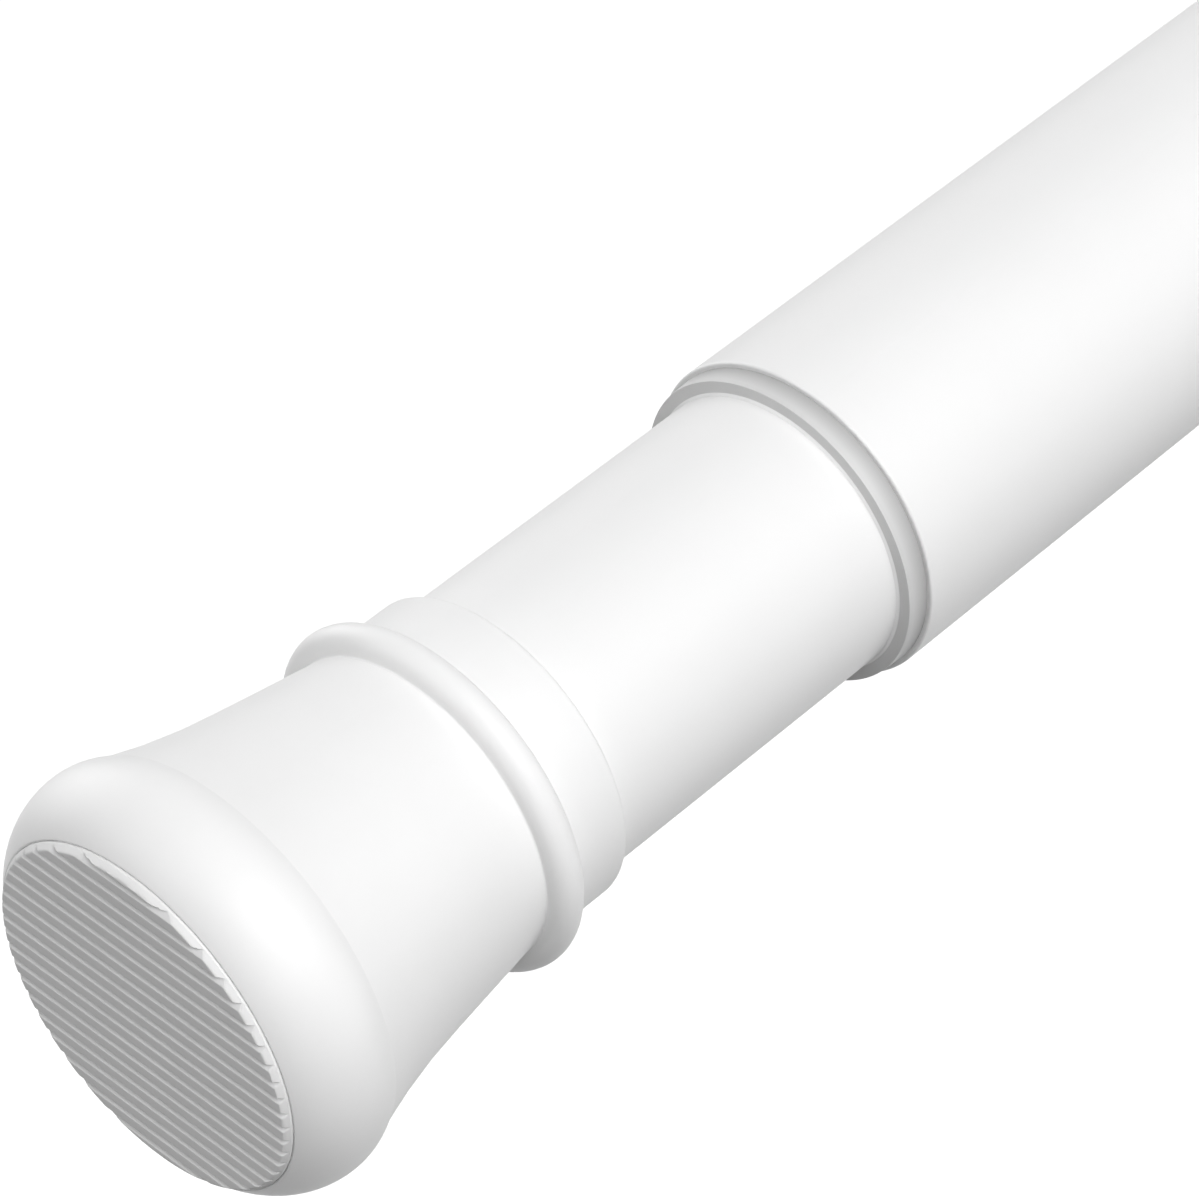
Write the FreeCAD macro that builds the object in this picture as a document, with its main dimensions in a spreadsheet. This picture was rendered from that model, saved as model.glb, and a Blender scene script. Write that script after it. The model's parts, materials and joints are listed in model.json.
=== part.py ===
"""Spring tension rod: two telescopic tubes, a spring plunger and twist lock inside, a padded cap at each end.

Frame: millimetres, the rod along X, Z up. The origin is the middle of the far pad's wall face (the outer
tube's end), and the rod runs from there towards -X. Each piece is drawn in its own frame, with its length
along its own X, and is placed from the same sheet values as the piece that carries it.
"""
import FreeCAD, Part
import math
import os
from collections import namedtuple

import Sketcher

DOCUMENT_NAME = "spring_tension_rod"
SHEET_NAME = "Sizes"
PARTS_FOLDER = "parts"

DRIVING_SIZES = {
    # tubes
    "outer_tube_diameter": 25.4,
    "inner_tube_diameter": 22.2,
    "tube_wall": 0.4,
    "outer_tube_length": 568.0,
    "inner_tube_shown": 28.2,
    # clearances: pieces that are pressed together, and pieces that run past each other
    "fit_gap": 0.05,
    "slide_gap": 0.2,
    # bushing in the outer tube's mouth
    "lip_length": 2.0,
    "lip_step": 0.3,
    "lip_fall": 0.1,
    "wiper_rise": 0.35,
    "bushing_depth": 14.0,
    # end caps, from the sleeve's end to the pad
    "sleeve_wall": 0.9,
    "sleeve_round": 0.7,
    "sleeve_length": 5.15,
    "bead_width": 2.5,
    "bead_height": 1.5,
    "neck_step": 0.17,
    "cone_length": 8.15,
    "cone_rise": 1.18,
    "flare_length": 9.2,
    "flare_rise": 2.09,
    "flare_radius": 50.0,
    "dome_back": 2.5,
    "dome_rise": 0.75,
    "dome_front": 4.9,
    "dome_fall": 2.6,
    "cap_web": 2.4,
    "seat_step": 1.8,
    "seat_width": 1.2,
    # grip pads
    "pad_recess": 1.4,
    "pad_proud": 0.45,
    "pad_edge": 0.42,
    "stud_diameter": 6.0,
    "barb_length": 1.6,
    "barb_step": 1.2,
    "groove_pitch": 1.3,
    "groove_width": 0.55,
    "groove_depth": 0.3,
    "bare_rim": 1.5,
    # guide bush and plunger
    "bush_length": 16.0,
    "bush_flange": 3.0,
    "hexagon": 8.0,
    "head_length": 8.0,
    "washer_thickness": 1.2,
    "spigot_diameter": 6.0,
    "spigot_end": 1.0,
    "nut_hexagon": 10.0,
    "nut_height": 5.0,
    # spring and its stop
    "spring_fitted": 80.0,
    "spring_diameter": 15.2,
    "spring_wire": 1.6,
    "spring_turns": 8.0,
    "spring_travel": 20.0,
    "plug_length": 12.0,
    "nipple_diameter": 11.0,
    "nipple_length": 6.0,
    # rivets and cross pin
    "pin_diameter": 2.5,
    "pin_sunk": 0.1,
    "rivet_length": 5.4,
    # twist lock, and the room behind it when the rod is as in the photo
    "lock_room": 26.1,
    "cam_flange": 2.0,
    "cam_step": 1.3,
    "journal_diameter": 14.0,
    "journal_length": 14.0,
    "eccentric": 0.8,
    "ring_slot": 2.0,
    "ring_edge": 0.6,
    "cam_washer_thickness": 1.5,
    "screw_diameter": 5.0,
    "screw_depth": 10.0,
    "screw_head_diameter": 9.0,
    "screw_head_height": 3.0,
    "screw_head_edge": 1.0,
    "screw_socket": 3.0,
    "screw_socket_depth": 1.6,
}

WIRE_FLAT_COUNT = 8


class Size:
    """A length that holds its number and the sheet formula which gives that number."""

    def __init__(self, number, formula):
        self.number = number
        self.formula = formula

    def _with(self, sign, other, number):
        formula = other.formula if isinstance(other, Size) else repr(other)
        return Size(number, f"({self.formula} {sign} {formula})")

    def __add__(self, other):
        return self._with("+", other, self.number + plain(other))

    def __sub__(self, other):
        return self._with("-", other, self.number - plain(other))

    def __mul__(self, other):
        return self._with("*", other, self.number * plain(other))

    def __truediv__(self, other):
        return self._with("/", other, self.number / plain(other))

    def __neg__(self):
        return Size(-self.number, f"(0 - {self.formula})")


def plain(value):
    return value.number if isinstance(value, Size) else value


# one corner of an outline; radius and turn belong to the arc that leaves it (1 bends left, -1 bends right)
Corner = namedtuple("Corner", "x y radius turn", defaults=(None, 0))

doc = FreeCAD.newDocument(DOCUMENT_NAME)
sheet = doc.addObject("Spreadsheet::Sheet", SHEET_NAME)
for row, (alias, value) in enumerate(DRIVING_SIZES.items(), start=1):
    sheet.set(f"A{row}", alias.replace("_", " "))
    sheet.set(f"B{row}", str(value))
    sheet.setAlias(f"B{row}", alias)
doc.recompute()

size = {alias: Size(value, f"{SHEET_NAME}.{alias}") for alias, value in DRIVING_SIZES.items()}
ZERO = Size(0.0, "0")
pieces = []


def bind(item, field, value):
    """Give a field its number, and the formula that keeps it tied to the sheet."""
    if "." not in field:
        setattr(item, field, value.number)
    item.setExpression(field, value.formula)


def new_body(label, along, faces_back=False):
    """A body whose own X runs along the rod from the place given, towards -X if it faces back."""
    body = doc.addObject("PartDesign::Body", label)
    body.Label = label
    turn = FreeCAD.Rotation(FreeCAD.Vector(0, 0, 1), 180 if faces_back else 0)
    body.Placement = FreeCAD.Placement(FreeCAD.Vector(along.number, 0, 0), turn)
    bind(body, "Placement.Base.x", along)
    pieces.append(body)
    return body


def new_sketch(body, plane, name):
    sketch = body.newObject("Sketcher::SketchObject", name)
    support = [item for item in body.Origin.OriginFeatures if item.Role == plane][0]
    sketch.AttachmentSupport = [(support, "")]
    sketch.MapMode = "FlatFace"
    return sketch


def tie_point(sketch, geometry, end, corner):
    """Hold one end of an edge at its corner, measured from the sketch's origin."""
    for kind, axis, value in (("DistanceX", -2, corner.x), ("DistanceY", -1, corner.y)):
        if value is ZERO:
            sketch.addConstraint(Sketcher.Constraint("PointOnObject", geometry, end, axis))
        else:
            index = sketch.addConstraint(Sketcher.Constraint(kind, -1, 1, geometry, end, value.number))
            sketch.setExpression(f"Constraints[{index}]", value.formula)


def arc_between(start, end, radius, turn):
    """The short arc from one point to another that bends left (turn 1) or right (turn -1)."""
    chord = end - start
    across = FreeCAD.Vector(-chord.y, chord.x, 0).normalize()
    height = math.sqrt(max(radius * radius - chord.Length * chord.Length / 4, 0.0))
    centre = start + chord * 0.5 + across * (height * turn)
    angles = [math.atan2(point.y - centre.y, point.x - centre.x) for point in (start, end)]
    first, last = angles if turn > 0 else reversed(angles)
    return Part.ArcOfCircle(Part.Circle(centre, FreeCAD.Vector(0, 0, 1), radius), first, last)


def draw(sketch, corners):
    """Draw a closed outline through the corners, with every corner and radius tied to the sheet."""
    points = [FreeCAD.Vector(corner.x.number, corner.y.number, 0) for corner in corners]
    ends = []
    for index, corner in enumerate(corners):
        start, end = points[index], points[(index + 1) % len(points)]
        if corner.radius is None:
            sketch.addGeometry(Part.LineSegment(start, end), False)
            ends.append((1, 2))
        else:
            sketch.addGeometry(arc_between(start, end, corner.radius.number, corner.turn), False)
            ends.append((1, 2) if corner.turn > 0 else (2, 1))
    for index, corner in enumerate(corners):
        before = index - 1 if index else len(corners) - 1
        first, last = ends[index][0], ends[before][1]
        sketch.addConstraint(Sketcher.Constraint("Coincident", before, last, index, first))
        tie_point(sketch, index, first, corner)
    for index, corner in enumerate(corners):
        if corner.radius is not None:
            place = sketch.addConstraint(Sketcher.Constraint("Radius", index, corner.radius.number))
            sketch.setExpression(f"Constraints[{place}]", corner.radius.formula)


def draw_circle(sketch, x, y, radius):
    centre = FreeCAD.Vector(x.number, y.number, 0)
    sketch.addGeometry(Part.Circle(centre, FreeCAD.Vector(0, 0, 1), radius.number), False)
    tie_point(sketch, 0, 3, Corner(x, y))
    place = sketch.addConstraint(Sketcher.Constraint("Radius", 0, radius.number))
    sketch.setExpression(f"Constraints[{place}]", radius.formula)


def draw_hexagon(sketch, across):
    """A hexagon of the given width across its flats, with two corners up and down."""
    half = across / 2
    short = across / (2 * math.sqrt(3))
    tall = across / math.sqrt(3)
    draw(sketch, [Corner(half, -short), Corner(half, short), Corner(ZERO, tall),
                  Corner(-half, short), Corner(-half, -short), Corner(ZERO, -tall)])


def turn_profile(body, corners):
    """Spin an outline of (along, radius) corners about the piece's own X axis."""
    sketch = new_sketch(body, "XY_Plane", f"{body.Label}_profile")
    draw(sketch, corners)
    spin = body.newObject("PartDesign::Revolution", f"{body.Label}_turned")
    spin.Profile = sketch
    spin.ReferenceAxis = (sketch, ["H_Axis"])
    spin.Angle = 360
    return spin


def tube_profile(length, bore_radius, outside_radius):
    return [Corner(ZERO, bore_radius), Corner(length, bore_radius),
            Corner(length, outside_radius), Corner(ZERO, outside_radius)]


def pad_section(body, sketch, length):
    """Push a section drawn across the rod out along the piece's own X."""
    pad = body.newObject("PartDesign::Pad", f"{sketch.Label}_pad")
    pad.Profile = sketch
    bind(pad, "Length", length)
    return pad


def pocket_through(body, sketch):
    """Cut a section right through the piece, both ways from its sketch."""
    pocket = body.newObject("PartDesign::Pocket", f"{sketch.Label}_cut")
    pocket.Profile = sketch
    pocket.Type = "ThroughAll"
    pocket.SideType = "Symmetric"
    return pocket


def bore_across(body, along, radius):
    """A round hole up and down through the piece, for rivets or a pin."""
    sketch = new_sketch(body, "XY_Plane", f"{body.Label}_pin_hole")
    draw_circle(sketch, along, ZERO, radius)
    return pocket_through(body, sketch)


def hexagon_bore(body, across):
    sketch = new_sketch(body, "YZ_Plane", f"{body.Label}_hexagon_bore")
    draw_hexagon(sketch, across)
    return pocket_through(body, sketch)


# radii that several pieces share
outer_radius = size["outer_tube_diameter"] / 2
outer_bore = outer_radius - size["tube_wall"]
inner_radius = size["inner_tube_diameter"] / 2
inner_bore = inner_radius - size["tube_wall"]
plug_radius = inner_bore - size["fit_gap"]
stud_radius = size["stud_diameter"] / 2
spigot_radius = size["spigot_diameter"] / 2
pin_radius = size["pin_diameter"] / 2
pin_hole = pin_radius + size["fit_gap"]
journal_radius = size["journal_diameter"] / 2
screw_radius = size["screw_diameter"] / 2
cam_radius = outer_bore - size["cam_step"]

# places along one cap, from its sleeve's end
bead_start = size["sleeve_length"]
bead_end = bead_start + size["bead_width"]
bead_radius = size["bead_width"] / 2
cone_end = bead_end + size["cone_length"]
crease_along = cone_end + size["flare_length"]
dome_top_along = crease_along + size["dome_back"]
cap_length = dome_top_along + size["dome_front"]
recess_floor = cap_length - size["pad_recess"]
web_back = recess_floor - size["cap_web"]
tube_seat = web_back - size["seat_step"]

# places along the rod
outer_sleeve_end = -(cap_length + size["pad_proud"])
outer_tube_end = outer_sleeve_end + tube_seat
mouth = outer_tube_end - size["outer_tube_length"]
lip_front = mouth - size["lip_length"]
inner_sleeve_end = lip_front - size["inner_tube_shown"]
inner_tube_start = inner_sleeve_end - tube_seat
cam_washer_end = outer_tube_end - size["lock_room"] - size["screw_head_height"]
journal_end = cam_washer_end - size["cam_washer_thickness"]
journal_start = journal_end - size["journal_length"]
cam_start = journal_start - size["cam_flange"]
bush_end = cam_start - size["spring_travel"] - size["slide_gap"] * 2
inner_tube_end = bush_end - size["bush_flange"]
inner_tube_length = inner_tube_end - inner_tube_start
bush_start = inner_tube_end - size["bush_length"]
head_end = bush_start - size["slide_gap"]
head_start = head_end - size["head_length"]
washer_start = head_start - size["washer_thickness"]
nut_start = washer_start - size["nut_height"]
spring_start = washer_start - size["spring_fitted"]
plug_start = spring_start - size["plug_length"]
rivets_along = bush_start + size["bush_length"] / 2
pin_along = plug_start + size["plug_length"] / 2


def arc_radius(run, rise):
    """Radius of an arc that starts level and rises by the given amount over the given run."""
    return (run * run + rise * rise) / (rise * 2)


def cap_radii(tube_radius):
    """The radii of a cap that fits the given tube, at each change of its outline."""
    sleeve = tube_radius + size["fit_gap"] + size["sleeve_wall"]
    neck = sleeve - size["neck_step"]
    crease = neck + size["cone_rise"] + size["flare_rise"]
    top = crease + size["dome_rise"]
    return {
        "bore": tube_radius + size["fit_gap"],
        "sleeve": sleeve,
        "bead_side": sleeve + size["bead_height"] - bead_radius,
        "neck": neck,
        "cone": neck + size["cone_rise"],
        "crease": crease,
        "top": top,
        "rim": top - size["dome_fall"],
    }


def make_end_cap(label, tube_radius, along, faces_back):
    """Moulded cap: sleeve, bead, bell and dome outside; tube socket, pad recess and stud hole inside."""
    radii = cap_radii(tube_radius)
    cavity = tube_radius - size["seat_width"]
    stud_hole = stud_radius + size["fit_gap"]
    round_start = radii["sleeve"] - size["sleeve_round"]
    body = new_body(label, along, faces_back)
    turn_profile(body, [
        Corner(ZERO, radii["bore"]),
        Corner(tube_seat, radii["bore"]),
        Corner(tube_seat, cavity),
        Corner(web_back, cavity),
        Corner(web_back, stud_hole),
        Corner(recess_floor, stud_hole),
        Corner(recess_floor, radii["rim"]),
        Corner(cap_length, radii["rim"], arc_radius(size["dome_front"], size["dome_fall"]), 1),
        Corner(dome_top_along, radii["top"], arc_radius(size["dome_back"], size["dome_rise"]), 1),
        Corner(crease_along, radii["crease"], size["flare_radius"], -1),
        Corner(cone_end, radii["cone"]),
        Corner(bead_end, radii["neck"]),
        Corner(bead_end, radii["bead_side"], bead_radius, 1),
        Corner(bead_start + bead_radius, radii["bead_side"] + bead_radius, bead_radius, 1),
        Corner(bead_start, radii["bead_side"]),
        Corner(bead_start, radii["sleeve"]),
        Corner(size["sleeve_round"], radii["sleeve"], size["sleeve_round"], 1),
        Corner(ZERO, round_start),
    ])


def grooves_on(disc, one_in_the_middle):
    """How many grooves fit on a disc inside its bare rim, with a groove or a rib across the middle."""
    pitches = (disc.number - size["bare_rim"].number) / size["groove_pitch"].number
    return 2 * int(pitches) + 1 if one_in_the_middle else 2 * int(pitches + 0.5)


def make_grip_pad(label, tube_radius, along, faces_back, one_in_the_middle):
    """Rubber disc with level grooves across its face, and a stud with a barb that holds it in the cap."""
    disc = cap_radii(tube_radius)["rim"] - size["fit_gap"]
    grooves = grooves_on(disc, one_in_the_middle)
    barb = stud_radius + size["barb_step"]
    shoulder = size["barb_length"]
    disc_back = shoulder + size["fit_gap"] + size["cap_web"]
    face = disc_back + size["pad_recess"] + size["pad_proud"]
    body = new_body(label, along, faces_back)
    turn_profile(body, [
        Corner(ZERO, ZERO),
        Corner(face, ZERO),
        Corner(face, disc - size["pad_edge"]),
        Corner(face - size["pad_edge"], disc),
        Corner(disc_back, disc),
        Corner(disc_back, stud_radius),
        Corner(shoulder, stud_radius),
        Corner(shoulder, barb),
        Corner(ZERO, stud_radius),
    ])
    span = size["groove_pitch"] * (grooves - 1)
    first = -(span / 2)
    half = size["groove_width"] / 2
    sketch = new_sketch(body, "XZ_Plane", f"{label}_groove")
    draw(sketch, [
        Corner(face + size["groove_depth"], first - half),
        Corner(face + size["groove_depth"], first + half),
        Corner(face, first + half),
        Corner(face - size["groove_depth"], first),
        Corner(face, first - half),
    ])
    groove = pocket_through(body, sketch)
    rows = body.newObject("PartDesign::LinearPattern", f"{label}_grooves")
    rows.Originals = [groove]
    rows.Direction = (sketch, ["V_Axis"])
    bind(rows, "Length", span)
    rows.Occurrences = grooves
    body.Tip = rows


def make_tubes():
    outer = new_body("outer_tube", mouth)
    turn_profile(outer, tube_profile(size["outer_tube_length"], outer_bore, outer_radius))
    inner = new_body("inner_tube", inner_tube_start)
    turn_profile(inner, tube_profile(inner_tube_length, inner_bore, inner_radius))
    bore_across(inner, rivets_along - inner_tube_start, pin_hole)
    second = new_sketch(inner, "XY_Plane", "inner_tube_cross_pin_hole")
    draw_circle(second, pin_along - inner_tube_start, ZERO, pin_hole)
    pocket_through(inner, second)


def make_mouth_bushing():
    """Bushing pressed into the outer tube's mouth: a spigot, a lip in front, and a wiper round its bore."""
    bore = inner_radius + size["fit_gap"]
    spigot = outer_bore - size["fit_gap"]
    lip = outer_radius - size["lip_step"]
    end = size["lip_length"] + size["bushing_depth"]
    body = new_body("mouth_bushing", lip_front)
    turn_profile(body, [
        Corner(-size["wiper_rise"], bore),
        Corner(end, bore),
        Corner(end, spigot),
        Corner(size["lip_length"], spigot),
        Corner(size["lip_length"], lip - size["lip_fall"], arc_radius(size["lip_length"], size["lip_fall"]), 1),
        Corner(ZERO, lip),
        Corner(ZERO, bore + size["wiper_rise"]),
    ])


def make_guide_bush():
    flange = outer_bore - size["slide_gap"]
    end = size["bush_length"] + size["bush_flange"]
    body = new_body("guide_bush", bush_start)
    turn_profile(body, [
        Corner(ZERO, ZERO),
        Corner(end, ZERO),
        Corner(end, flange),
        Corner(size["bush_length"], flange),
        Corner(size["bush_length"], plug_radius),
        Corner(ZERO, plug_radius),
    ])
    hexagon_bore(body, size["hexagon"] + size["slide_gap"] * 2)
    bore_across(body, rivets_along - bush_start, pin_hole)


def make_rivets():
    """Two rivets, above and below, sunk just under the tube's surface."""
    top = inner_radius - size["pin_sunk"]
    lowest = top - size["rivet_length"]
    rivets = []
    for name, start in (("upper_rivet", lowest), ("lower_rivet", -top)):
        rivet = doc.addObject("Part::Cylinder", name)
        bind(rivet, "Radius", pin_radius)
        bind(rivet, "Height", size["rivet_length"])
        bind(rivet, "Placement.Base.x", rivets_along)
        bind(rivet, "Placement.Base.z", start)
        rivets.append(rivet)
    group = doc.addObject("Part::Compound", "guide_bush_rivets")
    group.Label = "guide_bush_rivets"
    group.Links = rivets
    pieces.append(group)


def make_cross_pin():
    pin = doc.addObject("Part::Cylinder", "stop_plug_pin")
    pin.Label = "stop_plug_pin"
    half = inner_radius - size["pin_sunk"]
    bind(pin, "Radius", pin_radius)
    bind(pin, "Height", half * 2)
    bind(pin, "Placement.Base.x", pin_along)
    bind(pin, "Placement.Base.z", -half)
    pieces.append(pin)


def make_stop_plug():
    nipple = size["nipple_diameter"] / 2
    end = size["plug_length"] + size["nipple_length"]
    body = new_body("stop_plug", plug_start)
    turn_profile(body, [
        Corner(ZERO, ZERO),
        Corner(end, ZERO),
        Corner(end, nipple),
        Corner(size["plug_length"], nipple),
        Corner(size["plug_length"], plug_radius),
        Corner(ZERO, plug_radius),
    ])
    bore_across(body, pin_along - plug_start, pin_hole)


def make_spring():
    """Coil of the wire's section swept along a helix, between the stop plug and the washer."""
    coil = size["spring_diameter"] / 2
    seat = size["spring_wire"] / 2 + size["fit_gap"]
    height = size["spring_fitted"] - seat * 2
    helix = doc.addObject("Part::Helix", "spring_line")
    bind(helix, "Pitch", height / size["spring_turns"])
    bind(helix, "Height", height)
    bind(helix, "Radius", coil)
    start = spring_start + seat
    helix.Placement.Rotation = FreeCAD.Rotation(FreeCAD.Vector(0, 1, 0), 90)
    bind(helix, "Placement.Base.x", start)
    wire = doc.addObject("Part::RegularPolygon", "spring_wire_section")
    wire.Polygon = WIRE_FLAT_COUNT
    bind(wire, "Circumradius", size["spring_wire"] / 2)
    wire.Placement.Rotation = FreeCAD.Rotation(FreeCAD.Vector(1, 0, 0), -90)
    bind(wire, "Placement.Base.x", start)
    bind(wire, "Placement.Base.z", -coil)
    spring = doc.addObject("Part::Sweep", "compression_spring")
    spring.Label = "compression_spring"
    spring.Sections = [wire]
    spring.Spine = (helix, ["Edge1"])
    spring.Solid = True
    spring.Frenet = True
    pieces.append(spring)


def make_plunger():
    """Hexagonal rod with a spigot, and the piston, washer and nut that the spigot carries."""
    rod = new_body("plunger_rod", head_end)
    hexagon = new_sketch(rod, "YZ_Plane", "plunger_rod_hexagon")
    draw_hexagon(hexagon, size["hexagon"])
    pad_section(rod, hexagon, journal_end - head_end)
    spigot_section = new_sketch(rod, "YZ_Plane", "plunger_rod_spigot")
    draw_circle(spigot_section, ZERO, ZERO, spigot_radius)
    spigot = pad_section(rod, spigot_section, head_end - nut_start + size["spigot_end"])
    spigot.Reversed = True
    tapped = new_sketch(rod, "XY_Plane", "plunger_rod_screw_hole")
    end = journal_end - head_end
    draw(tapped, [
        Corner(end - size["screw_depth"], ZERO),
        Corner(end, ZERO),
        Corner(end, screw_radius + size["fit_gap"]),
        Corner(end - size["screw_depth"], screw_radius + size["fit_gap"]),
    ])
    hole = rod.newObject("PartDesign::Groove", "plunger_rod_screw_hole_cut")
    hole.Profile = tapped
    hole.ReferenceAxis = (tapped, ["H_Axis"])
    hole.Angle = 360

    bore = spigot_radius + size["fit_gap"]
    head = new_body("plunger_head", head_start)
    turn_profile(head, tube_profile(size["head_length"], bore, inner_bore - size["slide_gap"]))
    washer = new_body("spring_washer", washer_start)
    washer_radius = inner_bore - size["slide_gap"] * 2
    turn_profile(washer, tube_profile(size["washer_thickness"], bore, washer_radius))
    nut = new_body("plunger_nut", nut_start)
    section = new_sketch(nut, "YZ_Plane", "plunger_nut_hexagon")
    draw_hexagon(section, size["nut_hexagon"])
    pad_section(nut, section, size["nut_height"])
    thread = new_sketch(nut, "YZ_Plane", "plunger_nut_bore")
    draw_circle(thread, ZERO, ZERO, bore)
    pocket_through(nut, thread)


def make_lock():
    """Flanged cam with an off-centre journal, the split ring round it, and the washer and screw."""
    cam = new_body("lock_cam", cam_start)
    flange = new_sketch(cam, "YZ_Plane", "lock_cam_flange")
    draw_circle(flange, ZERO, ZERO, cam_radius)
    pad_section(cam, flange, size["cam_flange"])
    journal = new_sketch(cam, "YZ_Plane", "lock_cam_journal")
    draw_circle(journal, ZERO, size["eccentric"], journal_radius)
    pad_section(cam, journal, size["cam_flange"] + size["journal_length"])
    hexagon_bore(cam, size["hexagon"] + size["fit_gap"] * 2)

    bore = journal_radius + size["eccentric"] + size["slide_gap"]
    outside = outer_bore - size["slide_gap"]
    length = size["journal_length"] - size["slide_gap"] * 2
    edge = size["ring_edge"]
    ring = new_body("lock_ring", journal_start + size["slide_gap"])
    turn_profile(ring, [
        Corner(ZERO, bore),
        Corner(length, bore),
        Corner(length, outside - edge),
        Corner(length - edge, outside),
        Corner(edge, outside),
        Corner(ZERO, outside - edge),
    ])
    slot = new_sketch(ring, "XZ_Plane", "lock_ring_slot")
    half = size["ring_slot"] / 2
    draw(slot, [
        Corner(-edge, -half),
        Corner(length + edge, -half),
        Corner(length + edge, half),
        Corner(-edge, half),
    ])
    cut = ring.newObject("PartDesign::Pocket", "lock_ring_slot_cut")
    cut.Profile = slot
    cut.Type = "ThroughAll"

    hole = screw_radius + size["fit_gap"]
    washer = new_body("cam_washer", journal_end)
    turn_profile(washer, tube_profile(size["cam_washer_thickness"], hole, cam_radius))
    make_cam_screw()


def make_cam_screw():
    """Screw drawn from its tip: shank, head with a bevelled edge, hexagonal socket."""
    shank = size["cam_washer_thickness"] + size["screw_depth"] - size["fit_gap"]
    head_top = shank + size["screw_head_height"]
    head = size["screw_head_diameter"] / 2
    body = new_body("cam_screw", cam_washer_end - shank)
    turn_profile(body, [
        Corner(ZERO, ZERO),
        Corner(head_top, ZERO),
        Corner(head_top, head - size["screw_head_edge"]),
        Corner(head_top - size["screw_head_edge"], head),
        Corner(shank, head),
        Corner(shank, screw_radius),
        Corner(ZERO, screw_radius),
    ])
    socket = new_sketch(body, "YZ_Plane", "cam_screw_socket")
    draw_hexagon(socket, size["screw_socket"])
    socket.AttachmentOffset.Base.z = head_top.number
    bind(socket, "AttachmentOffset.Base.z", head_top)
    cut = body.newObject("PartDesign::Pocket", "cam_screw_socket_cut")
    cut.Profile = socket
    bind(cut, "Length", size["screw_socket_depth"])


def make_all():
    make_tubes()
    make_mouth_bushing()
    make_end_cap("outer_end_cap", outer_radius, outer_sleeve_end, False)
    make_end_cap("inner_end_cap", inner_radius, inner_sleeve_end, True)
    stud_back = web_back - size["fit_gap"] - size["barb_length"]
    outer_pad = outer_sleeve_end + stud_back
    inner_pad = inner_sleeve_end - stud_back
    make_grip_pad("outer_grip_pad", outer_radius, outer_pad, False, one_in_the_middle=False)
    make_grip_pad("inner_grip_pad", inner_radius, inner_pad, True, one_in_the_middle=True)
    make_guide_bush()
    make_rivets()
    make_stop_plug()
    make_cross_pin()
    make_spring()
    make_plunger()
    make_lock()


def check_all():
    """Stop if any feature failed or any piece has no valid shape."""
    for item in doc.Objects:
        if "Invalid" in item.State or "Error" in item.State:
            raise RuntimeError(f"{item.Name} failed: {item.State}")
    for piece in pieces:
        if piece.Shape.isNull() or not piece.Shape.isValid():
            raise RuntimeError(f"{piece.Label} has no valid shape")


make_all()
doc.recompute()
check_all()
os.makedirs(PARTS_FOLDER, exist_ok=True)
for piece in pieces:
    piece.Shape.exportStep(f"{PARTS_FOLDER}/{piece.Label}.step")
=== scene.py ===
"""Looks of the spring tension rod: turned tubes, caps and bushing, ribbed rubber pads and a coiled spring.

The rod lies along X, with the cap of the photograph at its -X end, over a pale studio floor. The sizes of
pieces are in millimetres, and MM turns them into metres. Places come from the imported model's boxes.
"""
import json
import math

import bpy
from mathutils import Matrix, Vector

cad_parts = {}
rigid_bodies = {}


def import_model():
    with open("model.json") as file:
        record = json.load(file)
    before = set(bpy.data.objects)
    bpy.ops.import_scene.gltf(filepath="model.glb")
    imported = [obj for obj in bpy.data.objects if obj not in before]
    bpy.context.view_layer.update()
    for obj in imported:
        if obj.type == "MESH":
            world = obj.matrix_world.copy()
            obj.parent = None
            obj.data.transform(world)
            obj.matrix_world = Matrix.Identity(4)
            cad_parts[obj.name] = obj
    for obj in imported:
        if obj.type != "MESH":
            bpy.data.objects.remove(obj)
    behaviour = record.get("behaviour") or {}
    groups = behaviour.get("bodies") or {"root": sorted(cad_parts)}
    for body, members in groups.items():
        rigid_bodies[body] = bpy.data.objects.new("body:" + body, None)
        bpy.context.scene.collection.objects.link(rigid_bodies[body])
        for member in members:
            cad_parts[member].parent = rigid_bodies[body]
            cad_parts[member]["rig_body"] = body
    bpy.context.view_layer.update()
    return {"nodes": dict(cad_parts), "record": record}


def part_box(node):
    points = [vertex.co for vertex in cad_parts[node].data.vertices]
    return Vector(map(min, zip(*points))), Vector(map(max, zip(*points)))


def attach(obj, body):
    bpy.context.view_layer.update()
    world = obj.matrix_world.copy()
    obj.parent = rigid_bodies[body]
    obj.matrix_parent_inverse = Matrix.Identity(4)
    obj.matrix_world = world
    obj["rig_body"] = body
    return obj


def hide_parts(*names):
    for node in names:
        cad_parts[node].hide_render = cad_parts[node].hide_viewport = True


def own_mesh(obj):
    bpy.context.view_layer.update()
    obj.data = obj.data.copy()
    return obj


MM = 0.001

# turned pieces
TURN_STEPS = 288
ARC_STEP_DEGREES = 5.0
SHARP_ANGLE_DEGREES = 35.0
EDGE_ROUND = 0.08
CREASE_ROUND = 0.12
ROUND_REACH = 0.49  # the most of a straight that a round at its end takes

# tubes
OUTER_TUBE_RADIUS = 12.7
INNER_TUBE_RADIUS = 11.1
TUBE_WALL = 0.4

# bushing in the outer tube's mouth
LIP_LENGTH = 1.75
LIP_RADIUS = 12.2
LIP_BACK_RADIUS = 12.3
LIP_EDGE_ROUND = 0.04
WIPER_RISE = 0.15
MOUTH_ROUND = 0.3
PRESS_GAP = 0.01

# painted shade on the bushing: greyer from behind the lip's front to the tube, where shade falls by the
# tube's edge; and a paler ring at the bore's edge, where the inner tube runs
PAINTED_SHADE_FROM = 0.4
PAINTED_SHADE_GREY = 0.4
PALE_BORE_GREY = 0.87
PALE_BORE_BLUR = 0.03

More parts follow.
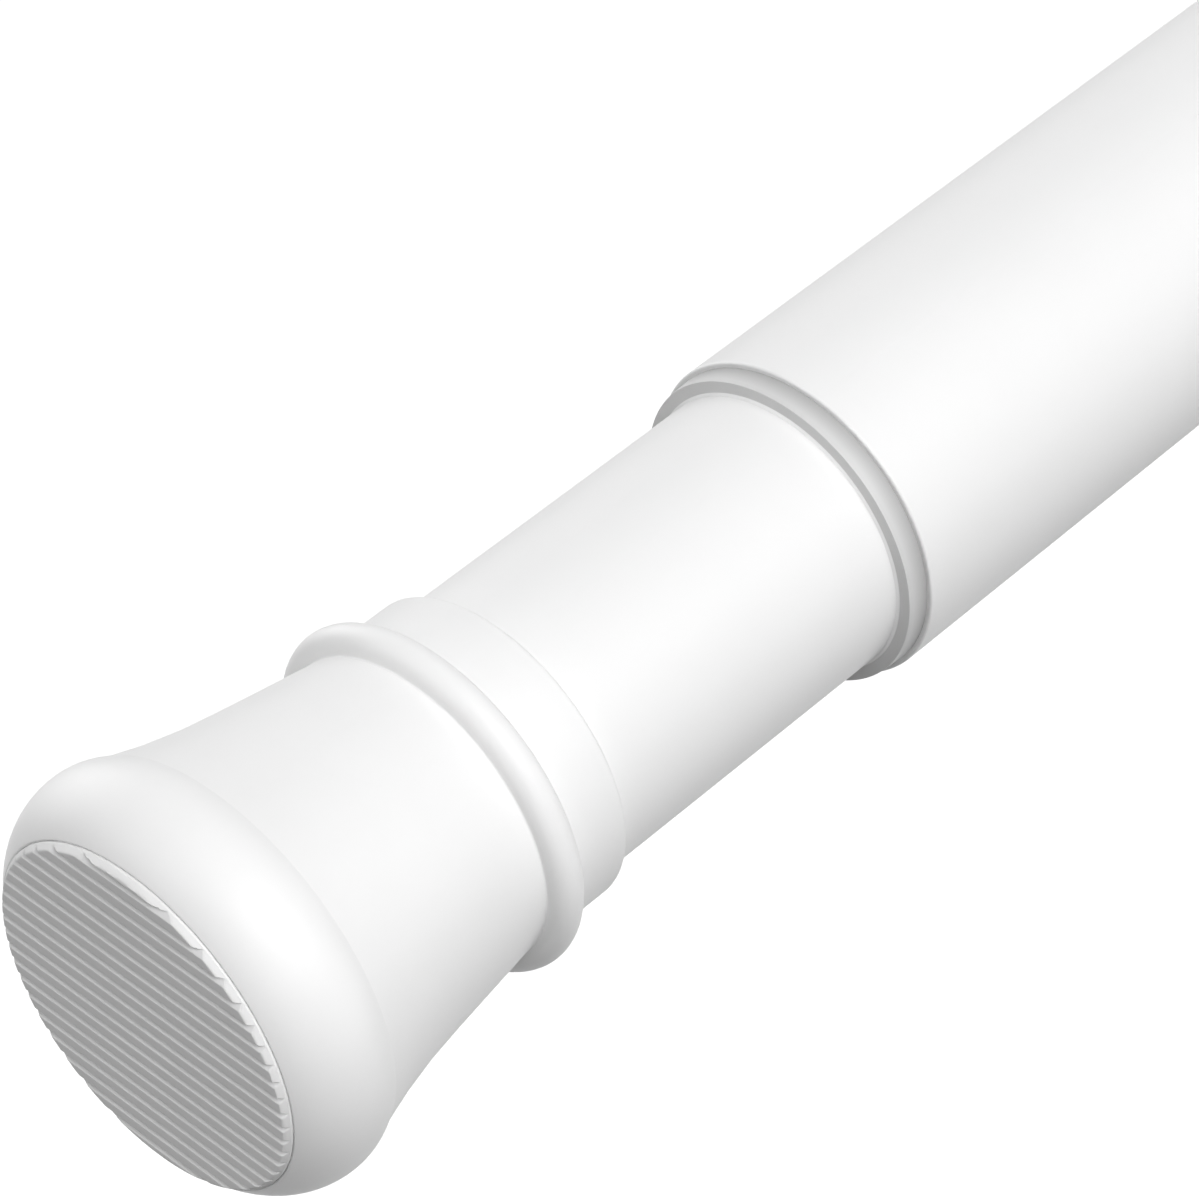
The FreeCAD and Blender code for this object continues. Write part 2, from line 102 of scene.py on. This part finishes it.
# end caps, from the sleeve's end to the pad
FIT_GAP = 0.05
SLEEVE_WALL = 0.9
SLEEVE_ROUND = 0.7
SLEEVE_LENGTH = 5.15
BEAD_RADIUS = 1.25
BEAD_HEIGHT = 1.5
NECK_STEP = 0.17
CONE_END = 15.8
CONE_RISE = 1.18
CREASE_ALONG = 25.0
FLARE_RISE = 2.09
FLARE_RADIUS = 50.0
DOME_TOP_ALONG = 27.5
DOME_RISE = 0.75
DOME_FALL = 2.6
CAP_LENGTH = 32.4
PAD_RECESS = 1.4
CAP_WEB = 2.4
RIM_ROUND = 0.3
RIM_ARC_POINTS = 1  # points of the dome's front that give way to the round of the rim
SEAT_STEP = 1.8
SEAT_WIDTH = 1.2

# grip pads
PAD_PROUD = 0.45
PAD_BEVEL_RUN = 0.31
PAD_BEVEL_DROP = 0.43
PAD_BEVEL_SOFTNESS = 0.05
STUD_RADIUS = 3.0
BARB_LENGTH = 1.6
BARB_STEP = 1.2
BARE_RIM = 0.6

# grooves of the pads; a groove's rows of points are given from its deepest line upwards
GROOVE_PITCH = 1.3
GROOVE_OFFSET = 0.28
GROOVE_DEPTH = 0.36
GROOVE_SLOPE_RUN = 0.44
GROOVE_WALL_RUN = 0.1
GROOVE_SOFTNESS = 0.02
GROOVE_ROWS = (
    -0.6, -0.5, -0.46, -0.44, -0.42, -0.36, -0.25, -0.12,
    0.0, 0.05, 0.09, 0.11, 0.15, 0.28, 0.42, 0.56,
)
PAD_COLUMNS = 96
RIM_STEP = 0.02  # radians round the pad between the rows above and below the grooves
RIM_STOP = 0.06  # radians that the last row stays off the top

# spring in the inner tube
SPRING_RADIUS = 7.6
SPRING_WIRE = 1.6
SPRING_TURNS = 8
COIL_STEPS = 48
WIRE_SIDES = 12

# finishes: two shades, roughness from and to, then clouds, grain and its relief in millimetres
FINISHES = {
    "tube_paint": {
        "dark": (0.86, 0.86, 0.86),
        "light": (0.88, 0.88, 0.88),
        "roughness": (0.34, 0.42),
        "cloud": 18.0,
        "grain": 0.9,
        "relief": 0.0015,
        "specular": 0.3,
    },
    "cap_plastic": {
        "dark": (0.86, 0.86, 0.86),
        "light": (0.88, 0.88, 0.88),
        "roughness": (0.36, 0.46),
        "cloud": 9.0,
        "grain": 0.35,
        "relief": 0.001,
        "specular": 0.3,
    },
    "pad_rubber": {
        "dark": (0.83, 0.83, 0.83),
        "light": (0.87, 0.87, 0.87),
        "roughness": (0.55, 0.7),
        "cloud": 5.0,
        "grain": 0.16,
        "relief": 0.004,
        "specular": 0.2,
    },
    "bushing_plastic": {
        "dark": (0.64, 0.64, 0.64),
        "light": (0.67, 0.67, 0.67),
        "roughness": (0.4, 0.5),
        "cloud": 7.0,
        "grain": 0.3,
        "relief": 0.001,
        "specular": 0.3,
    },
    "inner_plastic": {
        "dark": (0.74, 0.73, 0.68),
        "light": (0.8, 0.79, 0.75),
        "roughness": (0.45, 0.6),
        "cloud": 6.0,
        "grain": 0.3,
        "relief": 0.002,
    },
    "zinc_steel": {
        "dark": (0.56, 0.57, 0.59),
        "light": (0.66, 0.67, 0.69),
        "roughness": (0.25, 0.4),
        "cloud": 3.0,
        "grain": 0.2,
        "relief": 0.001,
        "metallic": 1.0,
    },
    "spring_steel": {
        "dark": (0.4, 0.4, 0.42),
        "light": (0.52, 0.52, 0.54),
        "roughness": (0.3, 0.45),
        "cloud": 4.0,
        "grain": 0.2,
        "relief": 0.001,
        "metallic": 1.0,
    },
}
CLOUD_DETAIL = 3.0
GRAIN_DETAIL = 2.0
NOISE_LOW = 0.3  # a noise keeps near a half, mostly between these two
NOISE_HIGH = 0.7

# camera of the photograph, in metres
CAMERA_PLACE = (-0.76576, -0.16844, 0.23259)
CAMERA_TURN_DEGREES = (46.743, 1.593, -47.084)
CAMERA_LENS = 147.0
SENSOR = 36.0

# studio, in metres: each softbox is (place, side of the square, watts), aimed at AIM
AIM = (-0.6, 0.0, 0.0)
SOFTBOXES = {
    "right_high": ((-0.45, -1.05, 1.05), 1.0, 12.7),
    "front_right_high": ((-0.98, -0.77, 1.23), 1.0, 12.0),
    "front_left": ((-1.65, 0.75, 0.75), 1.0, 4.0),
    "left_low": ((-0.45, 1.48, 0.15), 1.0, 10.7),
    "far_left_low": ((0.45, 1.05, 0.22), 1.0, 1.3),
    "far_right_low": ((0.44, -1.04, 0.3), 1.0, 1.2),
    "outer_end": ((0.5, 0.0, 0.25), 0.5, 0.43),
}
WHITE = (1.0, 1.0, 1.0, 1.0)
AMBIENT = 0.1
FLOOR_BELOW = 1.2
FLOOR_SIDE = 12.0
FLOOR_COLOUR = (0.4, 0.4, 0.4, 1.0)
FLOOR_ROUGHNESS = 0.9
FLOOR_GLOW = 0.95


def arc(centre, radius, start, end):
    """Points (along, radius) of an arc between two angles in degrees, both ends included."""
    steps = max(2, math.ceil(abs(end - start) / ARC_STEP_DEGREES))
    angles = [math.radians(start + (end - start) * step / steps) for step in range(steps + 1)]
    return [(centre[0] + radius * math.cos(a), centre[1] + radius * math.sin(a)) for a in angles]


def arc_through(start, end, radius, bend):
    """Points of the short arc between two points, bent left (1) or right (-1), without its end."""
    run, rise = end[0] - start[0], end[1] - start[1]
    chord = math.hypot(run, rise)
    height = math.sqrt(max(radius * radius - chord * chord / 4, 0.0)) * bend
    centre = (
        (start[0] + end[0]) / 2 - rise / chord * height,
        (start[1] + end[1]) / 2 + run / chord * height,
    )
    first = math.atan2(start[1] - centre[1], start[0] - centre[0])
    sweep = math.asin(min(1.0, chord / (2 * radius))) * 2 * bend
    return arc(centre, radius, math.degrees(first), math.degrees(first + sweep))[:-1]


def eased(before, corner, after, radius):
    """Points that round one corner of an outline with the given radius."""
    to_before = (before[0] - corner[0], before[1] - corner[1])
    to_after = (after[0] - corner[0], after[1] - corner[1])
    lengths = math.hypot(*to_before), math.hypot(*to_after)
    one = (to_before[0] / lengths[0], to_before[1] / lengths[0])
    two = (to_after[0] / lengths[1], to_after[1] / lengths[1])
    half = math.acos(max(-1.0, min(1.0, one[0] * two[0] + one[1] * two[1]))) / 2
    reach = min(radius / math.tan(half), min(lengths) * ROUND_REACH)
    start = (corner[0] + one[0] * reach, corner[1] + one[1] * reach)
    end = (corner[0] + two[0] * reach, corner[1] + two[1] * reach)
    bend = 1 if one[0] * two[1] - one[1] * two[0] < 0 else -1
    return arc_through(start, end, reach * math.tan(half), bend) + [end]


def outline(corners):
    """A closed outline: a corner (along, radius) is kept, and (along, radius, rounding) is eased."""
    points = []
    for index, corner in enumerate(corners):
        if len(corner) == 2:
            points.append(corner)
        else:
            before, after = corners[index - 1], corners[(index + 1) % len(corners)]
            points += eased(before, corner, after, corner[2])
    return points


def new_piece(name, vertices, faces):
    """A mesh piece, shaded smooth except at its creases."""
    mesh = bpy.data.meshes.new(name)
    mesh.from_pydata(vertices, [], faces)
    mesh.validate()
    mesh.polygons.foreach_set("use_smooth", [True] * len(mesh.polygons))
    mesh.set_sharp_from_angle(angle=math.radians(SHARP_ANGLE_DEGREES))
    piece = bpy.data.objects.new(name, mesh)
    bpy.context.scene.collection.objects.link(piece)
    return piece


def turned(name, corners, start, towards):
    """Spin a closed outline about the rod, from the place start in metres, along +X (1) or -X (-1)."""
    points = outline(corners)
    vertices = []
    for along, radius in points:
        place = start + along * MM * towards
        for step in range(TURN_STEPS):
            angle = 2 * math.pi * step / TURN_STEPS * towards
            vertices.append((place, radius * MM * math.cos(angle), radius * MM * math.sin(angle)))
    faces = []
    for ring in range(len(points)):
        here = ring * TURN_STEPS
        following = (ring + 1) % len(points) * TURN_STEPS
        for step in range(TURN_STEPS):
            beside = (step + 1) % TURN_STEPS
            faces.append((here + step, following + step, following + beside, here + beside))
    return new_piece(name, vertices, faces)


def stand_for(piece, node, slot, materials):
    """Let a piece take the place of a node: its body, and the finish of the given slot."""
    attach(piece, frame["nodes"][node]["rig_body"])
    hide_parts(node)
    piece.data.materials.append(materials[slot])


def tube_outline(length, radius):
    """A tube from its front, with the mouth's outer edge rounded most."""
    bore = radius - TUBE_WALL
    return [
        (0.0, bore),
        (length, bore, EDGE_ROUND),
        (length, radius, EDGE_ROUND),
        (0.0, radius, MOUTH_ROUND),
    ]


def bushing_outline(depth):
    """The mouth bushing from its lip's front: wiper, bore, spigot in the tube, and the lip's outside."""
    bore = INNER_TUBE_RADIUS + FIT_GAP
    spigot = OUTER_TUBE_RADIUS - TUBE_WALL - PRESS_GAP
    return [
        (-WIPER_RISE, INNER_TUBE_RADIUS + PRESS_GAP),
        (LIP_LENGTH + depth, bore),
        (LIP_LENGTH + depth, spigot),
        (LIP_LENGTH, spigot),
        (LIP_LENGTH, LIP_BACK_RADIUS),
        (0.0, LIP_RADIUS, LIP_EDGE_ROUND),
        (0.0, bore + WIPER_RISE),
    ]


def cap_rim(tube_radius):
    """Radius of a cap's pad recess, at the front of its dome."""
    neck = tube_radius + FIT_GAP + SLEEVE_WALL - NECK_STEP
    return neck + CONE_RISE + FLARE_RISE + DOME_RISE - DOME_FALL


def level_arc_radius(run, rise):
    """Radius of an arc that starts level and rises by the given amount over the given run."""
    return (run * run + rise * rise) / (2 * rise)


def cap_outline(tube_radius):
    """A cap from its sleeve's end: bore, pad recess, then the dome, bell, bead and sleeve outside."""
    bore = tube_radius + FIT_GAP
    sleeve = bore + SLEEVE_WALL
    neck = sleeve - NECK_STEP
    cone = neck + CONE_RISE
    crease = cone + FLARE_RISE
    top = crease + DOME_RISE
    rim = top - DOME_FALL
    recess_floor = CAP_LENGTH - PAD_RECESS
    web_back = recess_floor - CAP_WEB
    tube_seat = web_back - SEAT_STEP
    stud_hole = STUD_RADIUS + FIT_GAP
    cavity = tube_radius - SEAT_WIDTH
    bead_middle = SLEEVE_LENGTH + BEAD_RADIUS
    bead_end = bead_middle + BEAD_RADIUS
    bead_side = sleeve + BEAD_HEIGHT - BEAD_RADIUS
    front = level_arc_radius(CAP_LENGTH - DOME_TOP_ALONG, DOME_FALL)
    back = level_arc_radius(DOME_TOP_ALONG - CREASE_ALONG, DOME_RISE)
    dome_front = arc_through((CAP_LENGTH, rim), (DOME_TOP_ALONG, top), front, 1)
    dome_back = arc_through((DOME_TOP_ALONG, top), (CREASE_ALONG, crease), back, 1)
    flare = arc_through((CREASE_ALONG, crease), (CONE_END, cone), FLARE_RADIUS, -1)
    return [
        (0.0, bore, EDGE_ROUND),
        (tube_seat, bore),
        (tube_seat, cavity),
        (web_back, cavity),
        (web_back, stud_hole),
        (recess_floor, stud_hole),
        (recess_floor, rim),
        (CAP_LENGTH, rim, RIM_ROUND),
        *dome_front[RIM_ARC_POINTS:],
        *dome_back,
        (CREASE_ALONG, crease, CREASE_ROUND),
        *flare[1:],
        (CONE_END, cone),
        (bead_end, neck, CREASE_ROUND),
        *arc((bead_middle, bead_side), BEAD_RADIUS, 0, 180),
        (SLEEVE_LENGTH, sleeve, CREASE_ROUND),
        (0.0, sleeve, SLEEVE_ROUND),
    ]


def groove_depth(height, grooves):
    """Depth of the pad's level grooves at a height: a steep wall above, a slope below, and soft lips."""
    first = -(grooves - 1) / 2
    nearest = min(max(round((height - GROOVE_OFFSET) / GROOVE_PITCH - first), 0), grooves - 1)
    above = height - GROOVE_OFFSET - (first + nearest) * GROOVE_PITCH
    run = GROOVE_WALL_RUN if above > 0 else GROOVE_SLOPE_RUN
    depth = GROOVE_DEPTH * (1.0 - abs(above) / run)
    return (depth + math.hypot(depth, GROOVE_SOFTNESS)) / 2


def rim_depth(radius, disc):
    """How far the bevel of the pad's rim lies behind its face."""
    drop = PAD_BEVEL_DROP * (1.0 - (disc - radius) / PAD_BEVEL_RUN)
    return (drop + math.hypot(drop, PAD_BEVEL_SOFTNESS)) / 2


def rim_rows(height, disc):
    """Heights from the last groove to the top of the pad, closer and closer together."""
    start = math.asin(height / disc)
    stop = math.pi / 2 - RIM_STOP
    steps = math.ceil((stop - start) / RIM_STEP)
    return [disc * math.sin(start + (stop - start) * (step + 1) / steps) for step in range(steps)]


def pad_rows(disc, grooves):
    """Heights of the rows of a pad's face: close together in the grooves and towards the rim."""
    first = -(grooves - 1) / 2
    bottoms = [GROOVE_OFFSET + (first + groove) * GROOVE_PITCH for groove in range(grooves)]
    rows = [bottom + away for bottom in bottoms for away in GROOVE_ROWS]
    below = [-height for height in rim_rows(-min(rows), disc)]
    return sorted(below + rows + rim_rows(max(rows), disc))


def pad_face(disc, grooves, face, towards):
    """Points and faces of a pad's ribbed face, row by row, and the points in turn along its edge."""
    rows = pad_rows(disc, grooves)
    width = PAD_COLUMNS + 1
    vertices = []
    for height in rows:
        half = math.sqrt(disc * disc - height * height)
        for column in range(width):
            side = half * math.sin(math.pi * (column / PAD_COLUMNS - 0.5))
            behind = max(groove_depth(height, grooves), rim_depth(math.hypot(side, height), disc))
            vertices.append((face - behind * MM * towards, side * MM * towards, height * MM))
    faces = []
    for row in range(len(rows) - 1):
        for column in range(PAD_COLUMNS):
            here = row * width + column
            faces.append((here, here + 1, here + width + 1, here + width))
    last = (len(rows) - 1) * width
    bottom = range(width)
    right = [row * width + PAD_COLUMNS for row in range(1, len(rows) - 1)]
    top = range(last + PAD_COLUMNS, last - 1, -1)
    left = [row * width for row in range(len(rows) - 2, 0, -1)]
    return vertices, faces, [*bottom, *right, *top, *left]


def grip_pad(name, tube_radius, face, towards, one_in_the_middle):
    """Ribbed rubber disc with a bevelled rim and a barbed stud; towards is the way that its face looks."""
    disc = cap_rim(tube_radius) - PRESS_GAP
    pitches = (disc - BARE_RIM) / GROOVE_PITCH
    grooves = 2 * int(pitches) + 1 if one_in_the_middle else 2 * int(pitches + 0.5)
    vertices, faces, edge = pad_face(disc, grooves, face, towards)
    turns = [math.atan2(vertices[index][2], vertices[index][1]) for index in edge]
    seat = PAD_PROUD + PAD_RECESS
    shoulder = seat + CAP_WEB + FIT_GAP
    rings = [
        (seat, disc),
        (seat, STUD_RADIUS),
        (shoulder, STUD_RADIUS),
        (shoulder, STUD_RADIUS + BARB_STEP),
        (shoulder + BARB_LENGTH, STUD_RADIUS),
    ]
    ring = edge
    for behind, radius in rings:
        place = face - behind * MM * towards
        start = len(vertices)
        for turn in turns:
            vertices.append((place, radius * MM * math.cos(turn), radius * MM * math.sin(turn)))
        following = list(range(start, len(vertices)))
        for index in range(len(edge)):
            faces.append((ring[index - 1], following[index - 1], following[index], ring[index]))
        ring = following
    faces.append(tuple(reversed(ring)))
    return new_piece(name, vertices, faces)


def coil_spring(name, low, high):
    """Open coil of round wire along the rod, between two places in metres."""
    wire = SPRING_WIRE / 2
    start = low / MM + wire
    run = (high - low) / MM - SPRING_WIRE
    steps = SPRING_TURNS * COIL_STEPS
    slope = math.atan2(run / SPRING_TURNS, 2 * math.pi * SPRING_RADIUS)
    vertices = []
    for step in range(steps + 1):
        turn = 2 * math.pi * step / COIL_STEPS
        for side in range(WIRE_SIDES):
            around = 2 * math.pi * side / WIRE_SIDES
            outward = SPRING_RADIUS + wire * math.cos(around)
            lean = -wire * math.sin(around) * math.sin(slope)
            along = start + run * step / steps + wire * math.sin(around) * math.cos(slope)
            vertices.append((
                along * MM,
                (outward * math.cos(turn) - lean * math.sin(turn)) * MM,
                (outward * math.sin(turn) + lean * math.cos(turn)) * MM,
            ))
    last = steps * WIRE_SIDES
    faces = [tuple(range(WIRE_SIDES)), tuple(range(last + WIRE_SIDES - 1, last - 1, -1))]
    for step in range(steps):
        here, following = step * WIRE_SIDES, (step + 1) * WIRE_SIDES
        for side in range(WIRE_SIDES):
            beside = (side + 1) % WIRE_SIDES
            faces.append((here + side, following + side, following + beside, here + beside))
    return new_piece(name, vertices, faces)


def new_material(name):
    material = bpy.data.materials.new(name)
    material.use_nodes = True
    return material, material.node_tree, material.node_tree.nodes["Principled BSDF"]


def noise(tree, coordinates, size, detail):
    """A noise with spots of about the given size in millimetres."""
    texture = tree.nodes.new("ShaderNodeTexNoise")
    texture.inputs["Scale"].default_value = 1 / (size * MM)
    texture.inputs["Detail"].default_value = detail
    tree.links.new(coordinates, texture.inputs["Vector"])
    return texture.outputs["Fac"]


def ramped(tree, value, low, high, first=0.0, last=1.0):
    """The number first where a value is low, last where it is high, and a straight ramp between them."""
    node = tree.nodes.new("ShaderNodeMapRange")
    node.inputs["From Min"].default_value = low
    node.inputs["From Max"].default_value = high
    node.inputs["To Min"].default_value = first
    node.inputs["To Max"].default_value = last
    tree.links.new(value, node.inputs["Value"])
    return node.outputs["Result"]


def tinted(tree, value, dark, light):
    """A colour between two shades, by a noise."""
    ramp = tree.nodes.new("ShaderNodeValToRGB")
    ramp.color_ramp.elements[0].position = NOISE_LOW
    ramp.color_ramp.elements[1].position = NOISE_HIGH
    ramp.color_ramp.elements[0].color = (*dark, 1.0)
    ramp.color_ramp.elements[1].color = (*light, 1.0)
    tree.links.new(value, ramp.inputs["Fac"])
    return ramp.outputs["Color"]


def mixed(tree, share, colour, grey):
    """A colour that turns to a grey by a share."""
    node = tree.nodes.new("ShaderNodeMix")
    node.data_type = "RGBA"
    tree.links.new(share, node.inputs["Factor"])
    tree.links.new(colour, node.inputs["A"])
    node.inputs["B"].default_value = (grey, grey, grey, 1.0)
    return node.outputs["Result"]


def grained(name, dark, light, roughness, cloud, grain, relief, metallic=0.0, specular=0.5):
    """A finish with faint clouds in its colour, uneven gloss and a fine grain."""
    material, tree, shader = new_material(name)
    coordinates = tree.nodes.new("ShaderNodeTexCoord").outputs["Object"]
    clouds = noise(tree, coordinates, cloud, CLOUD_DETAIL)
    fine = noise(tree, coordinates, grain, GRAIN_DETAIL)
    bump = tree.nodes.new("ShaderNodeBump")
    bump.inputs["Strength"].default_value = 1.0
    bump.inputs["Distance"].default_value = relief * MM
    gloss = ramped(tree, clouds, NOISE_LOW, NOISE_HIGH, *roughness)
    tree.links.new(fine, bump.inputs["Height"])
    tree.links.new(tinted(tree, clouds, dark, light), shader.inputs["Base Color"])
    tree.links.new(gloss, shader.inputs["Roughness"])
    tree.links.new(bump.outputs["Normal"], shader.inputs["Normal"])
    shader.inputs["Metallic"].default_value = metallic
    shader.inputs["Specular IOR Level"].default_value = specular
    return material


def paint_bushing_shade_and_pale_bore(material):
    """Paint the bushing pale at its bore's edge, where the inner tube runs, and paint shade on it, greyer
    towards the outer tube's edge.
    """
    tree = material.node_tree
    shader = tree.nodes["Principled BSDF"]
    plastic = shader.inputs["Base Color"].links[0].from_socket
    place = tree.nodes.new("ShaderNodeSeparateXYZ")
    tree.links.new(tree.nodes["Texture Coordinate"].outputs["Object"], place.inputs["Vector"])
    flat = tree.nodes.new("ShaderNodeCombineXYZ")
    for axis in "YZ":
        tree.links.new(place.outputs[axis], flat.inputs[axis])
    across = tree.nodes.new("ShaderNodeVectorMath")
    across.operation = "LENGTH"
    tree.links.new(flat.outputs["Vector"], across.inputs[0])
    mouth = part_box("outer_tube")[0].x
    # painted shade: the lip greys from behind its front towards the outer tube's edge
    painted_shade_share = ramped(tree, place.outputs["X"], mouth + (PAINTED_SHADE_FROM - LIP_LENGTH) * MM, mouth)
    wiper = (INNER_TUBE_RADIUS + FIT_GAP + WIPER_RISE) * MM
    blur = PALE_BORE_BLUR * MM
    # a paler ring at the bore's edge, next to the inner tube
    pale_bore_share = ramped(tree, across.outputs["Value"], wiper + blur, wiper - blur)
    shaded_plastic = mixed(tree, painted_shade_share, plastic, PAINTED_SHADE_GREY)
    tree.links.new(mixed(tree, pale_bore_share, shaded_plastic, PALE_BORE_GREY), shader.inputs["Base Color"])


def make_materials():
    materials = {name: grained(name, **finish) for name, finish in FINISHES.items()}
    # painted shade on the bushing's lip, and a paler ring at its bore
    paint_bushing_shade_and_pale_bore(materials["bushing_plastic"])
    return materials


def dress_kept_solids(slots, materials):
    """The pieces inside the tubes, except the spring, keep their solids and get their slot's finish."""
    for name, node in frame["nodes"].items():
        if not node.hide_render:
            node.data.materials.clear()
            node.data.materials.append(materials[slots[name]])


def make_tubes(materials):
    for node, radius in (("outer_tube", OUTER_TUBE_RADIUS), ("inner_tube", INNER_TUBE_RADIUS)):
        low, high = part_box(node)
        tube = turned(f"{node}_painted", tube_outline((high.x - low.x) / MM, radius), low.x, 1)
        stand_for(tube, node, "tube_paint", materials)


def make_bushing(materials):
    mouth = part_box("outer_tube")[0].x
    depth = (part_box("mouth_bushing")[1].x - mouth) / MM
    bushing = turned("mouth_bushing_moulded", bushing_outline(depth), mouth - LIP_LENGTH * MM, 1)
    stand_for(bushing, "mouth_bushing", "bushing_plastic", materials)


def make_ends(materials):
    """The two caps and their pads; the outer pad has an odd number of grooves, the inner one an even one."""
    for end, radius, towards in (("outer", OUTER_TUBE_RADIUS, 1), ("inner", INNER_TUBE_RADIUS, -1)):
        low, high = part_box(f"{end}_end_cap")
        sleeve_end = low.x if towards > 0 else high.x
        cap = turned(f"{end}_end_cap_moulded", cap_outline(radius), sleeve_end, towards)
        stand_for(cap, f"{end}_end_cap", "cap_plastic", materials)
        low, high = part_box(f"{end}_grip_pad")
        face = high.x if towards > 0 else low.x
        pad = grip_pad(f"{end}_grip_pad_ribbed", radius, face, towards, end == "outer")
        stand_for(pad, f"{end}_grip_pad", "pad_rubber", materials)


def make_spring(materials):
    """The spring, coiled between the ends of its solid, with a mesh of its own."""
    low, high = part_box("compression_spring")
    spring = coil_spring("compression_spring_coiled", low.x, high.x)
    stand_for(spring, "compression_spring", "spring_steel", materials)
    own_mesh(spring)


def seen_or_reflected(tree):
    """1 for a ray from the camera or one that a surface reflects or lets through, 0 for a lighting ray."""
    light_path = tree.nodes.new("ShaderNodeLightPath")
    value = light_path.outputs["Is Camera Ray"]
    for ray in ("Is Glossy Ray", "Is Transmission Ray"):
        either = tree.nodes.new("ShaderNodeMath")
        either.operation = "MAXIMUM"
        tree.links.new(value, either.inputs[0])
        tree.links.new(light_path.outputs[ray], either.inputs[1])
        value = either.outputs["Value"]
    return value


def make_floor():
    """A pale floor that the camera sees as near white, with the rod's shadow left in it."""
    below = -FLOOR_BELOW
    half = FLOOR_SIDE / 2
    corners = [(-half, -half, below), (half, -half, below), (half, half, below), (-half, half, below)]
    mesh = bpy.data.meshes.new("floor")
    mesh.from_pydata(corners, [], [(0, 1, 2, 3)])
    floor = bpy.data.objects.new("floor", mesh)
    bpy.context.scene.collection.objects.link(floor)
    material, tree, shader = new_material("pale_floor")
    shader.inputs["Base Color"].default_value = FLOOR_COLOUR
    shader.inputs["Roughness"].default_value = FLOOR_ROUGHNESS
    shader.inputs["Specular IOR Level"].default_value = 0.0
    shader.inputs["Emission Color"].default_value = WHITE
    glow = tree.nodes.new("ShaderNodeMath")
    glow.operation = "MULTIPLY"
    glow.inputs[1].default_value = FLOOR_GLOW
    tree.links.new(seen_or_reflected(tree), glow.inputs[0])
    tree.links.new(glow.outputs["Value"], shader.inputs["Emission Strength"])
    floor.data.materials.append(material)


def make_world():
    """Even light from all round, and plain white where the camera or a reflection sees past the floor."""
    world = bpy.data.worlds.new("studio")
    bpy.context.scene.world = world
    world.use_nodes = True
    tree = world.node_tree
    around = tree.nodes["Background"]
    around.inputs["Color"].default_value = WHITE
    around.inputs["Strength"].default_value = AMBIENT
    backdrop = tree.nodes.new("ShaderNodeBackground")
    backdrop.inputs["Color"].default_value = WHITE
    mix = tree.nodes.new("ShaderNodeMixShader")
    tree.links.new(seen_or_reflected(tree), mix.inputs["Fac"])
    tree.links.new(around.outputs["Background"], mix.inputs[1])
    tree.links.new(backdrop.outputs["Background"], mix.inputs[2])
    tree.links.new(mix.outputs["Shader"], tree.nodes["World Output"].inputs["Surface"])


def make_softboxes():
    aim = bpy.data.objects.new("aim", None)
    aim.location = AIM
    bpy.context.scene.collection.objects.link(aim)
    for name, (place, side, watts) in SOFTBOXES.items():
        lamp = bpy.data.lights.new(name, "AREA")
        lamp.shape = "SQUARE"
        lamp.size = side
        lamp.energy = watts
        softbox = bpy.data.objects.new(name, lamp)
        softbox.location = place
        bpy.context.scene.collection.objects.link(softbox)
        turn = softbox.constraints.new("TRACK_TO")
        turn.target = aim
        turn.track_axis = "TRACK_NEGATIVE_Z"
        turn.up_axis = "UP_Y"


def make_camera():
    lens = bpy.data.cameras.new("photo_camera")
    lens.lens = CAMERA_LENS
    lens.sensor_width = SENSOR
    camera = bpy.data.objects.new("photo_camera", lens)
    camera.location = CAMERA_PLACE
    camera.rotation_euler = [math.radians(angle) for angle in CAMERA_TURN_DEGREES]
    bpy.context.scene.collection.objects.link(camera)
    bpy.context.scene.camera = camera


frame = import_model()
slot_of_node = {part["node"]: part["material_slot"] for part in frame["record"]["subparts"]}
finishes = make_materials()
make_tubes(finishes)
make_bushing(finishes)
make_ends(finishes)
make_spring(finishes)
dress_kept_solids(slot_of_node, finishes)
make_floor()
make_world()
make_softboxes()
make_camera()
bpy.context.scene.view_settings.view_transform = "Standard"
